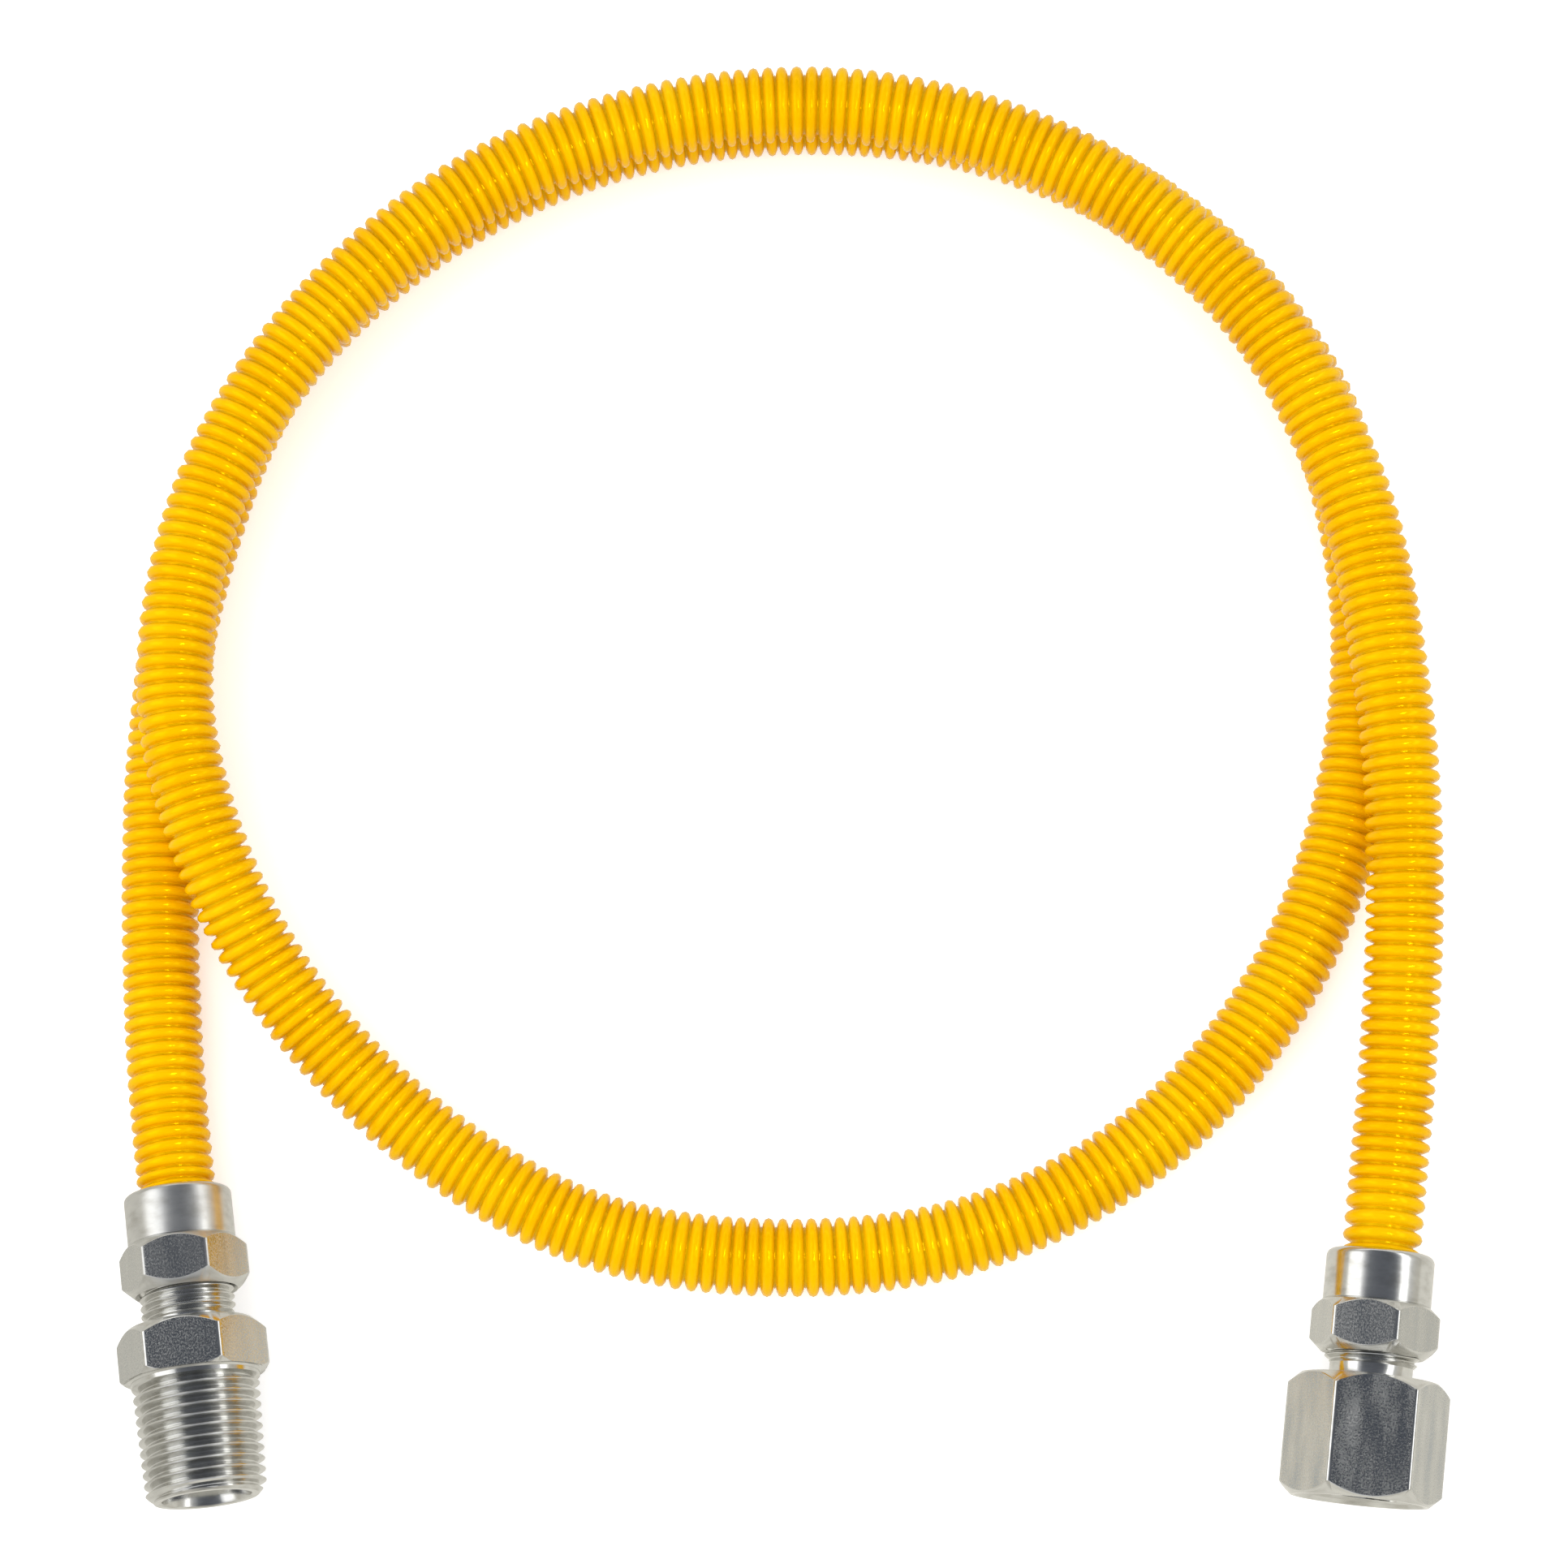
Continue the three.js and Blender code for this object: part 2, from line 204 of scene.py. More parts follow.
class StageSettings(bpy.types.PropertyGroup):
    """Camera, floor and light."""

    distance: FloatProperty(
        name="Camera distance", description="From the middle of the view", default=0.85, unit="LENGTH"
    )
    elevation: FloatProperty(
        name="Camera elevation", description="Degrees above the floor", default=77.5
    )
    target: FloatVectorProperty(
        name="Camera target", description="Middle of the view", default=(0.0012, 0, 0), subtype="XYZ"
    )
    lens: FloatProperty(name="Lens", description="Focal length in mm", default=112.1)
    floor: StringProperty(name="Floor colour", description="sRGB hex", default="#F7F7F7")


# Materials


def linear(code):
    """An sRGB hex colour as a linear RGBA tuple."""
    parts = [int(code[i : i + 2], 16) / 255 for i in (1, 3, 5)]
    return tuple(c / 12.92 if c <= 0.04045 else ((c + 0.055) / 1.055) ** 2.4 for c in parts) + (1.0,)


def add_node(tree, kind, settings=None, **links):
    """Adds a node. settings holds its properties, plain inputs, and for a ramp the stops, as (position,
    hex). links holds inputs given as sockets: by name, with _ for a space, or i0, i1 by their place."""
    node = tree.nodes.new(kind)
    for key, value in (settings or {}).items():
        if key == "stops":
            elements = node.color_ramp.elements
            while len(elements) < len(value):
                elements.new(0.5)
            for element, (position, code) in zip(elements, value):
                element.position = position
                element.color = linear(code)
        elif hasattr(node, key):
            setattr(node, key, value)
        else:
            node.inputs[key].default_value = value
    for key, socket in links.items():
        name = int(key[1:]) if key[0] == "i" and key[1:].isdigit() else key.replace("_", " ")
        tree.links.new(socket, node.inputs[name])
    return node


def new_material(name):
    """An empty node material and its tree."""
    material = bpy.data.materials.new(name)
    material.use_nodes = True
    tree = material.node_tree
    tree.nodes.clear()
    return material, tree


def stretched(tree, scale):
    """The surface coordinates, in millimetres round and along the piece, times scale."""
    uv = add_node(tree, "ShaderNodeUVMap", {"uv_map": "surface_mm"}).outputs["UV"]
    return add_node(
        tree, "ShaderNodeMapping", {"Scale": (scale[0], scale[1], 1)}, Vector=uv
    ).outputs["Vector"]


def finish_surface(tree, base, roughness, bump, settings):
    """The shader and the output. settings holds what is the same all over the surface."""
    shader = add_node(
        tree,
        "ShaderNodeBsdfPrincipled",
        settings,
        Base_Color=base,
        Roughness=roughness,
        Normal=bump,
    )
    add_node(tree, "ShaderNodeOutputMaterial", {}, Surface=shader.outputs["BSDF"])


def coating_material(code):
    """Dip-coated PVC: glossy, and so full of pigment that even its highlights are yellow, which a small
    metallic share gives. Painted shade darkens its colour on the steep sides of each bead and in the
    dips beside the ridge in each trough, and leaves the ridge and the crest lighter. Faint ripples run
    round it, 2 mm long and 0.6 mm wide."""
    material, tree = new_material("dip_coated_pvc")
    place = add_node(tree, "ShaderNodeTexCoord").outputs["Object"]
    cloud = add_node(
        tree, "ShaderNodeTexNoise", {"Scale": 70, "Detail": 3}, Vector=place
    ).outputs["Fac"]
    tint = add_node(
        tree,
        "ShaderNodeValToRGB",
        {"stops": [(0.3, "#F9BC00"), (0.5, code), (0.7, "#FFCA06")]},
        Fac=cloud,
    ).outputs["Color"]
    bead = add_node(tree, "ShaderNodeUVMap", {"uv_map": "bead_rise"}).outputs["UV"]
    rise = add_node(tree, "ShaderNodeSeparateXYZ", {}, Vector=bead).outputs["X"]
    # Painted shade: darker in the dips beside each trough's ridge and on the beads' steep sides
    painted_shade_stops = [(0, "#ECF4DA"), (0.2, "#FFFFFA"), (0.4, "#EEF6E0"), (0.8, "#FAFBF4"), (1, "#FFFFFA")]
    trough_and_flank_shade = add_node(tree, "ShaderNodeValToRGB", {"stops": painted_shade_stops}, Fac=rise).outputs["Color"]
    deep = add_node(
        tree,
        "ShaderNodeMixRGB",
        {"blend_type": "MULTIPLY", "Fac": 1.0},
        Color1=tint,
        Color2=trough_and_flank_shade,
    ).outputs["Color"]
    ripple = add_node(
        tree, "ShaderNodeTexNoise", {"Scale": 1, "Detail": 2}, Vector=stretched(tree, (0.55, 1.6))
    ).outputs["Fac"]
    rough = add_node(
        tree, "ShaderNodeMapRange", {"To Min": 0.08, "To Max": 0.22}, Value=ripple
    ).outputs["Result"]
    bump = add_node(
        tree, "ShaderNodeBump", {"Strength": 0.3, "Distance": 0.0003}, Height=ripple
    ).outputs["Normal"]
    finish_surface(
        tree, deep, rough, bump, {"Metallic": 0.12, "IOR": 1.2, "Specular Tint": linear("#FFD040")}
    )
    return material


def turned_steel(name, code, lowest, highest, bump=0.08):
    """Turned steel under bright zinc: fine lines round the piece, 0.12 mm apart, and a faint cloud. The
    lines vary its roughness from lowest to highest."""
    material, tree = new_material(name)
    lines = add_node(
        tree, "ShaderNodeTexNoise", {"Scale": 1, "Detail": 2}, Vector=stretched(tree, (0.02, 8.0))
    ).outputs["Fac"]
    cloud = add_node(
        tree, "ShaderNodeTexNoise", {"Scale": 1, "Detail": 4}, Vector=stretched(tree, (0.25, 0.5))
    ).outputs["Fac"]
    tint = add_node(
        tree,
        "ShaderNodeValToRGB",
        {"stops": [(0.3, "#C0BFBA"), (0.5, code), (0.75, "#DEDEDA")]},
        Fac=cloud,
    ).outputs["Color"]
    rough = add_node(
        tree, "ShaderNodeMapRange", {"To Min": lowest, "To Max": highest}, Value=lines
    ).outputs["Result"]
    relief = add_node(
        tree, "ShaderNodeBump", {"Strength": bump, "Distance": 0.00006}, Height=lines
    ).outputs["Normal"]
    finish_surface(tree, tint, rough, relief, {"Metallic": 1, "Anisotropic": 0.4})
    return material


def drawn_steel(name, code, frost, streaks, sparkle):
    """Cold-drawn hexagon bar under bright zinc: a fine frosted grain on a bright ground, closer in
    streaks along the bar. The real grain is about 0.1 mm, and is drawn twice as coarse so that it shows.
    frost is the roughness of the grain, streaks how much it gathers, and sparkle how deep it is."""
    material, tree = new_material(name)
    grain = add_node(
        tree,
        "ShaderNodeTexNoise",
        {"Scale": 1, "Detail": 4, "Roughness": 0.7},
        Vector=stretched(tree, (4.6, 3.8)),
    ).outputs["Fac"]
    streak = add_node(
        tree, "ShaderNodeTexNoise", {"Scale": 1, "Detail": 3}, Vector=stretched(tree, (0.5, 0.1))
    ).outputs["Fac"]
    gather = add_node(
        tree, "ShaderNodeMapRange", {"To Min": -streaks, "To Max": streaks}, Value=streak
    ).outputs["Result"]
    both = add_node(
        tree, "ShaderNodeMath", {"operation": "ADD"}, i0=grain, i1=gather
    ).outputs["Value"]
    rough = add_node(
        tree,
        "ShaderNodeMapRange",
        {"From Min": 0.3, "From Max": 0.75, "To Min": 0.1, "To Max": frost},
        Value=both,
    ).outputs["Result"]
    tint = add_node(
        tree,
        "ShaderNodeValToRGB",
        {"stops": [(0.3, "#ACB1B5"), (0.5, code), (0.7, "#D8D8D4")]},
        Fac=both,
    ).outputs["Color"]
    pits = add_node(
        tree, "ShaderNodeMapRange", {"From Min": 0.5, "From Max": 0.75}, Value=grain
    ).outputs["Result"]
    bump = add_node(
        tree, "ShaderNodeBump", {"Strength": sparkle, "Distance": 0.0001}, Height=pits
    ).outputs["Normal"]
    finish_surface(tree, tint, rough, bump, {"Metallic": 1})
    return material


def annealed_steel():
    """Bare stainless tube, annealed after forming: satin, with a faint straw tint."""
    material, tree = new_material("annealed_stainless")
    place = add_node(tree, "ShaderNodeTexCoord").outputs["Object"]
    cloud = add_node(
        tree, "ShaderNodeTexNoise", {"Scale": 120, "Detail": 3}, Vector=place
    ).outputs["Fac"]
    tint = add_node(
        tree, "ShaderNodeValToRGB", {"stops": [(0.3, "#8F8D86"), (0.7, "#A8A69C")]}, Fac=cloud
    ).outputs["Color"]
    rough = add_node(
        tree, "ShaderNodeMapRange", {"To Min": 0.3, "To Max": 0.45}, Value=cloud
    ).outputs["Result"]
    bump = add_node(
        tree, "ShaderNodeBump", {"Strength": 0.1, "Distance": 0.0001}, Height=cloud
    ).outputs["Normal"]
    finish_surface(tree, tint, rough, bump, {"Metallic": 1})
    return material


# The route


def joint_named(name):
    """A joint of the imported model."""
    return next(j for j in frame["joints"] if j["name"] == name)


def end_frame(side):
    """The rear of a nut and the direction in which its fitting points."""
    joint = joint_named(side + "_nut_turn")
    return Vector(joint["pos_m"]), -Vector(joint["axis"]).normalized()


def fitting_matrix(side, piece):
    """The frame of a fitting: +Z outwards along it, +Y as near to upwards as it allows, then its roll."""
    rear, out = end_frame(side)
    across = Vector((0, 0, 1)).cross(out).normalized()
    up = out.cross(across)
    turn = Matrix((across, up, out)).transposed()
    roll = Matrix.Rotation(math.radians(ROLLS[f"{side}_{piece}"]), 3, "Z")
    return Matrix.Translation(rear) @ (turn @ roll).to_4x4()


def spline_point(points, at):
    """A point on the centripetal Catmull-Rom curve through points, at from 0 to len(points) - 1."""
    low = min(int(at), len(points) - 2)
    share = at - low
    b, c = points[low], points[low + 1]
    a = points[low - 1] if low else 2 * b - c
    d = points[low + 2] if low + 2 < len(points) else 2 * c - b
    ab, bc, cd = (max((q - p).length, 1e-9) ** 0.5 for p, q in ((a, b), (b, c), (c, d)))
    leave = ((b - a) / ab - (c - a) / (ab + bc) + (c - b) / bc) * bc
    arrive = ((c - b) / bc - (d - b) / (bc + cd) + (d - c) / cd) * bc
    square = 2 * b - 2 * c + leave + arrive
    curve = -3 * b + 3 * c - 2 * leave - arrive
    return b + leave * share + curve * share**2 + square * share**3


def centreline(reach):
    """Closely spaced points along the hose, from reach inside one nut to reach inside the other."""
    male, male_out = end_frame("male")
    female, female_out = end_frame("female")
    points = [male + male_out * reach, male - male_out * TAIL / 3, male - male_out * TAIL]
    points += [Vector((x, y, HOSE_RADIUS + z * (2 * HOSE_RADIUS + STRAND_GAP))) for x, y, z in ROUTE]
    points += [female - female_out * TAIL, female - female_out * TAIL / 3, female + female_out * reach]
    count = (len(points) - 1) * CURVE_STEPS
    return [spline_point(points, i / CURVE_STEPS) for i in range(count + 1)]


class Route:
    """A polyline with its arc length and a frame that turns as little as it can."""

    def __init__(self, points):
        self.points = points
        self.along = [0.0]
        for a, b in zip(points, points[1:]):
            self.along.append(self.along[-1] + (b - a).length)
        self.length = self.along[-1]
        self.normals = []
        ahead = (points[1] - points[0]).normalized()
        normal = ahead.cross(Vector((0, 0, 1))).normalized()
        for i in range(len(points)):
            a, b = points[max(i - 1, 0)], points[min(i + 1, len(points) - 1)]
            turned = (b - a).normalized()
            normal = (ahead.rotation_difference(turned) @ normal).normalized()
            ahead = turned
            self.normals.append((ahead, normal))
        self.last = 0

    def at(self, distance):
        """Point, direction and normal at a distance along the route."""
        distance = min(max(distance, 0.0), self.length)
        if self.along[self.last] > distance:
            self.last = 0
        while self.last < len(self.points) - 2 and self.along[self.last + 1] < distance:
            self.last += 1
        i = self.last
        share = (distance - self.along[i]) / max(self.along[i + 1] - self.along[i], 1e-12)
        point = self.points[i].lerp(self.points[i + 1], share)
        ahead = self.normals[i][0].lerp(self.normals[i + 1][0], share).normalized()
        normal = self.normals[i][1].lerp(self.normals[i + 1][1], share)
        return point, ahead, (normal - ahead * normal.dot(ahead)).normalized()


# Meshes


# Corners closer than MERGE_DISTANCE become one, and edges shorter than SLIVER go, in metres
MERGE_DISTANCE = 3e-7
SLIVER = 1e-7


def grid_object(name, rows, surface, material):
    """Skins rows of points, each as long as the next, and closes the last row on the first.
    Columns close because their last point repeats the first. surface holds (round, along) in mm, and
    for the hose the rise of its corrugation from 0 at the root to 1 at the crest."""
    columns = len(rows[0])
    flat = [point for row in rows for point in row]
    faces = []
    for r in range(len(rows)):
        n = (r + 1) % len(rows)
        for c in range(columns - 1):
            faces.append((r * columns + c, r * columns + c + 1, n * columns + c + 1, n * columns + c))
    mesh = bpy.data.meshes.new(name)
    mesh.from_pydata(flat, [], faces)
    spread = []
    for r in range(len(rows)):
        n = (r + 1) % len(rows)
        for c in range(columns - 1):
            spread += [surface[row][column] for row, column in ((r, c), (r, c + 1), (n, c + 1), (n, c))]
    layer = mesh.uv_layers.new(name="surface_mm")
    layer.data.foreach_set("uv", [value for spot in spread for value in spot[:2]])
    if len(spread[0]) > 2:
        layer = mesh.uv_layers.new(name="bead_rise")
        layer.data.foreach_set("uv", [value for spot in spread for value in (spot[2], 0)])
    work = bmesh.new()
    work.from_mesh(mesh)
    bmesh.ops.remove_doubles(work, verts=work.verts, dist=MERGE_DISTANCE)
    bmesh.ops.dissolve_degenerate(work, edges=work.edges, dist=SLIVER)
    bmesh.ops.recalc_face_normals(work, faces=work.faces)
    if work.calc_volume(signed=True) < 0:
        bmesh.ops.reverse_faces(work, faces=work.faces)
    work.to_mesh(mesh)
    work.free()
    mesh.materials.append(material)
    obj = bpy.data.objects.new(name, mesh)
    bpy.context.scene.collection.objects.link(obj)
    return obj


# Angle in degrees from which an edge shows as sharp
TUBE_SHARP = 40
FITTING_SHARP = 24


def shade(obj, angle):
    """Smooth shading, with edges sharper than angle kept sharp."""
    mesh = obj.data
    mesh.shade_smooth()
    mesh.set_sharp_from_angle(angle=math.radians(angle))


# Angles of the columns beside a hexagon's corner, and the first, step and number of those between two
# corners, in degrees
NEAR_CORNER = [0.0, 0.7, 1.4, 2.1, 3.6]
BETWEEN_START, BETWEEN_STEP, BETWEEN_COUNT = 6.5, 4.7, 11


def hex_columns():
    """Angles round a fitting: close at the hexagon's six corners, even between them."""
    between = [BETWEEN_START + BETWEEN_STEP * i for i in range(BETWEEN_COUNT)]
    sector = NEAR_CORNER + between + [60 - a for a in reversed(NEAR_CORNER[1:])]
    return [math.radians(60 * k + a) for k in range(6) for a in sector] + [2 * math.pi]


COLUMNS = hex_columns()


def hex_reach(flats, corner, angle):
    """Distance from the axis to a hexagon's side, with its corners rounded."""
    off = (angle + math.pi / 6) % (math.pi / 3) - math.pi / 6
    centre = (flats / 2 - corner) / math.cos(math.pi / 6)
    limit = math.atan2(corner / 2, centre + corner * math.cos(math.pi / 6))
    if abs(off) < limit:
        return centre * math.cos(off) + math.sqrt(corner**2 - (centre * math.sin(off)) ** 2)
    return flats / 2 / math.cos(math.pi / 6 - abs(off))


def ring(radius, height):
    """A plain ring of a turned outline."""
    return lambda angle: (radius, height)


def arc(radius, height, size, start, stop, steps):
    """Rings along a round edge about (radius, height), between two angles in degrees."""
    turns = [math.radians(start + (stop - start) * i / steps) for i in range(steps + 1)]
    return [ring(radius + size * math.cos(t), height + size * math.sin(t)) for t in turns]


def hexagon(flats, bottom, top, chamfers, settings):
    """Rows of a hexagon bar whose corners are turned off at 45 degrees at both ends."""
    rear, front = chamfers
    corner = flats / math.sqrt(3)
    edge = settings.edge

    def side(base, step, cut, inset):
        def row(angle):
            reach = hex_reach(flats, settings.corner, angle)
            over = max(reach - (corner - cut), 0)
            if inset < 0:
                return reach + inset, base + step * max(over + inset, 0)
            return reach, base + step * (over + inset)

        return row

    return [
        ring(corner - rear - edge, bottom),
        side(bottom, 1, rear, -edge / 2),
        side(bottom, 1, rear, edge / 2),
        side(top, -1, front, edge / 2),
        side(top, -1, front, -edge / 2),
        ring(corner - front - edge, top),
    ]


# Width of a thread's flat crest and root, as a share of its pitch, and how much its sides curve, from 0
# for straight to 1 for an even wave
THREAD_FLAT = 0.1
THREAD_CURVE = 0.45


def thread_shape(phase):
    """Height of a thread's side from 0 at the root to 1 at the crest, over one pitch."""
    away = abs(phase % 1 - 0.5)
    rise = min(max((0.5 - THREAD_FLAT / 2 - away) / (0.5 - THREAD_FLAT), 0), 1)
    return rise * rise * (3 - 2 * rise) * THREAD_CURVE + rise * (1 - THREAD_CURVE)


def thread(radius, pitch, depth, low, high, taper=0.0, limit=None, shift=0.0):
    """Rows of a right-hand thread from low to high, whichever is above. The crest has its radius at low.
    limit(height, radius) may trim it, and shift moves it by a share of its pitch."""
    bottom, top = min(low, high), max(low, high)
    steps = range(-THREAD_STEPS, THREAD_STEPS * (math.ceil((top - bottom) / pitch) + 1))

    def row_at(step):
        def row(angle):
            turn = angle / (2 * math.pi)
            height = min(max(bottom + pitch * (step / THREAD_STEPS + turn), bottom), top)
            phase = (height - bottom) / pitch - turn + shift
            reach = radius - taper * (height - low) - depth * (1 - thread_shape(phase))
            return (limit(height, reach) if limit else reach), height

        return row

    rows = [row_at(step) for step in steps]
    return rows if low < high else rows[::-1]


def turned_object(name, rows, place, material):
    """Skins the rows of a fitting in its frame."""
    placed = []
    surface = []
    run = 0.0
    before = None
    for row in rows:
        spots = [row(angle) for angle in COLUMNS]
        if before:
            run += math.hypot(spots[0][0] - before[0], spots[0][1] - before[1])
        before = spots[0]
        placed.append(
            [place @ Vector((r * math.cos(a), r * math.sin(a), h)) for a, (r, h) in zip(COLUMNS, spots)]
        )
        surface.append([(a * NUT_SKIRT_RADIUS / MM, run / MM) for a in COLUMNS])
    return grid_object(name, placed, surface, material)


# Pieces


# Corrugations crowd where the hose was pressed into the male nut, and open out at the female nut: the
# share of the pitch that is left to each, and how many there are
CROWDED_PITCH, CROWDED_COUNT = 0.8, 4
OPENED_PITCH, OPENED_COUNT = 1.14, 5

# How much the corrugations differ: each one's length, by a share either way, its radius, by a share
# inwards, and the slope at which it leans
LENGTH_WOBBLE = 0.05
RADIUS_WOBBLE = 0.006
LEAN = 0.026
LENGTH_SEED = 4
SHAPE_SEED = 7


def corrugation_stations(length, pitch):
    """Distances of the corrugations' roots along the hose."""
    crowded = [CROWDED_PITCH * pitch] * CROWDED_COUNT
    opened = [OPENED_PITCH * pitch] * OPENED_COUNT
    middle = length - sum(crowded) - sum(opened)
    count = round(middle / pitch)
    wobble = random.Random(LENGTH_SEED)
    even = [1 + wobble.uniform(-LENGTH_WOBBLE, LENGTH_WOBBLE) for _ in range(count)]
    even = [step * middle / sum(even) for step in even]
    stations = [0.0]
    for step in crowded + even + opened:
        stations.append(stations[-1] + step)
    return stations


# One corrugation, as (share of its length, share of its depth): a broad round bead between narrow
# troughs, each with a low ridge along its floor
CORRUGATION = [
    (0, 0.2),
    (0.06, 0.04),
    (0.12, 0.45),
    (0.26, 0.85),
    (0.5, 1),
    (0.74, 0.85),
    (0.88, 0.45),
    (0.94, 0.04),
]
STRAIGHT_CORRUGATION = [(0, 0), (0.5, 1)]


def hose_rows(route, stations, crest, depth, sides, columns):
    """Rings of a corrugated tube along the route, and their surface coordinates in mm. Each corrugation
    leans and swells a little, in the same way for coating and tube."""
    wobble = random.Random(SHAPE_SEED)
    rows = []
    surface = []
    for low, high in zip(stations, stations[1:]):
        swell = 1 + wobble.uniform(-RADIUS_WOBBLE, 0.0)
        lean = wobble.uniform(0.0, LEAN)
        towards = wobble.uniform(0, 2 * math.pi)
        for share, rise in columns:
            distance = low + share * (high - low)
            radius = crest * swell - depth * (1 - rise)
            point, ahead, normal = route.at(distance)
            side = ahead.cross(normal)
            row = []
            for i in range(sides + 1):
                angle = 2 * math.pi * (i % sides) / sides
                slide = lean * radius * rise * math.cos(angle - towards)
                outward = math.cos(angle) * normal + math.sin(angle) * side
                row.append(point + radius * outward + slide * ahead)
            rows.append(row)
            surface.append(
                [(i * 2 * math.pi * crest / sides / MM, distance / MM, rise) for i in range(sides + 1)]
            )
    return rows, surface


class GASHOSE_OT_coating(bpy.types.Operator):
    """The coated, corrugated hose."""

    bl_idname = "gas_hose.coating"
    bl_label = "Coating"

    def execute(self, context):
        settings = context.scene.gas_hose
        route = Route(centreline(COATING_IN_NUT))
        stations = corrugation_stations(route.length, settings.pitch)
        sides = settings.sides
        outer, outer_mm = hose_rows(route, stations, CREST_RADIUS, settings.depth, sides, CORRUGATION)
        inner, inner_mm = hose_rows(
            route, stations, CREST_RADIUS - settings.wall, settings.depth, sides, STRAIGHT_CORRUGATION
        )
        skin = coating_material(settings.yellow)
        coating = grid_object("coating_skin", outer + inner[::-1], outer_mm + inner_mm[::-1], skin)
        coating.data.shade_smooth()
        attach(coating, "hose")
        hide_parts("yellow_coating")
        return {"FINISHED"}


def flare_cones():
    """Heights at which the joint's nested 45 degree cones would meet the axis."""
    slant = math.sqrt(2)
    shoulder = NUT_SHOULDER - (PLAIN_TUBE_RADIUS + JOINT_GAP)
    outer = shoulder + JOINT_GAP * slant
    inner = outer + PLAIN_TUBE_WALL * slant
    return shoulder, outer, inner, inner + JOINT_GAP * slant


class GASHOSE_OT_tube(bpy.types.Operator):
    """The steel tube inside the coating, corrugated, with a flared plain end in each nut."""

    bl_idname = "gas_hose.tube"
    bl_label = "Steel tube"

    def execute(self, context):
        settings = context.scene.gas_hose
        route = Route(centreline(COATING_IN_NUT + TUBE_PAST_COATING))
        covered = corrugation_stations(route.length - 2 * TUBE_PAST_COATING, settings.pitch)
        stations = [0.0] + [at + TUBE_PAST_COATING for at in covered] + [route.length]
        crest = CREST_RADIUS - settings.wall - TUBE_CLEARANCE
        outer, outer_mm = hose_rows(
            route, stations, crest, settings.depth, TUBE_SIDES, STRAIGHT_CORRUGATION
        )
        inner, inner_mm = hose_rows(
            route, stations, crest - TUBE_WALL, settings.depth, TUBE_SIDES, STRAIGHT_CORRUGATION
        )
        first, first_mm = self.plain_end("male", route, True)
        last, last_mm = self.plain_end("female", route, False)
        rows = first[2::-1] + outer + last + inner[::-1] + first[:2:-1]
        surface = first_mm[2::-1] + outer_mm + last_mm + inner_mm[::-1] + first_mm[:2:-1]
        tube = grid_object("steel_tube_corrugated", rows, surface, annealed_steel())
        shade(tube, TUBE_SHARP)
        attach(tube, "hose")
        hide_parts("steel_tube")
        return {"FINISHED"}

    def plain_end(self, side, route, at_start):
        """Rows of the flared end: three outwards along its outside, then three back along its inside."""
        rear, out = end_frame(side)
        _, ahead, normal = route.at(0 if at_start else route.length)
        across = ahead.cross(normal)
        _, outer, inner, _ = flare_cones()
        lip = PLAIN_TUBE_RADIUS + FLARE_WIDTH
        slant = PLAIN_TUBE_WALL / math.sqrt(2)
        bore = PLAIN_TUBE_RADIUS - PLAIN_TUBE_WALL
        start = COATING_IN_NUT + TUBE_PAST_COATING + PLAIN_END_GAP
        outline = [
            (PLAIN_TUBE_RADIUS, start),
            (PLAIN_TUBE_RADIUS, outer + PLAIN_TUBE_RADIUS),
            (lip, outer + lip),
            (lip - slant, inner + lip - slant),
            (bore, inner + bore),
            (bore, start),
        ]
        rows = []
        surface = []
        for radius, height in outline:
            centre = rear + out * height
            turns = [2 * math.pi * (i % TUBE_SIDES) / TUBE_SIDES for i in range(TUBE_SIDES + 1)]
            rows.append([centre + radius * (math.cos(t) * normal + math.sin(t) * across) for t in turns])
            surface.append([(t * radius / MM, height / MM, 0) for t in turns])
        return rows, surface


# Place of one more ring on a skirt, as a share of its length, which keeps its faces from being long
SKIRT_RING = 0.6


def nut_rows(settings, rounding):
    """Rows of a nut: skirt, hexagon, thread inside, shoulder for the flare and seat for the hose."""
    shoulder, _, _, _ = flare_cones()
    seat = HOSE_RADIUS + JOINT_GAP
    seat_end = COATING_IN_NUT + TUBE_PAST_COATING + JOINT_GAP
    bore = PLAIN_TUBE_RADIUS + JOINT_GAP
    thread_bore = FLARE_THREAD_RADIUS + JOINT_GAP
    rows = [ring(seat, SKIRT_MOUTH - SKIRT_LIP), ring(seat + SKIRT_MOUTH, -SKIRT_LIP)]
    rows += arc(NUT_SKIRT_RADIUS - rounding, rounding - SKIRT_LIP, rounding, -90, 0, ROUNDING_STEPS)
    rows += [ring(NUT_SKIRT_RADIUS, NUT_SKIRT_LENGTH * SKIRT_RING)]
    rows += [ring(NUT_SKIRT_RADIUS, NUT_SKIRT_LENGTH - settings.edge)]
    rows += hexagon(NUT_FLATS, NUT_SKIRT_LENGTH, NUT_LENGTH, NUT_CHAMFERS, settings)
    rows += [ring(thread_bore + NUT_MOUTH, NUT_LENGTH)]

    def mouth(height, radius):
        return max(radius, thread_bore - (NUT_LENGTH - NUT_MOUTH - height))

    rows += thread(
        thread_bore,
        FLARE_THREAD_PITCH,
        FLARE_THREAD_DEPTH,
        NUT_LENGTH - NUT_MOUTH,
        shoulder + thread_bore,
        limit=mouth,
        shift=thread_phase(shoulder + thread_bore),
    )
    rows += [ring(thread_bore, shoulder + thread_bore), ring(bore, NUT_SHOULDER), ring(bore, seat_end)]
    rows += [ring(seat, seat_end)]
    return rows


def thread_phase(height):
    """Share of a pitch by which the flare thread is past its root at a height, where it starts afresh."""
    *_, nose = flare_cones()
    return (height - (nose + FLARE_THREAD_RADIUS - FLARE_THREAD_DEPTH)) / FLARE_THREAD_PITCH


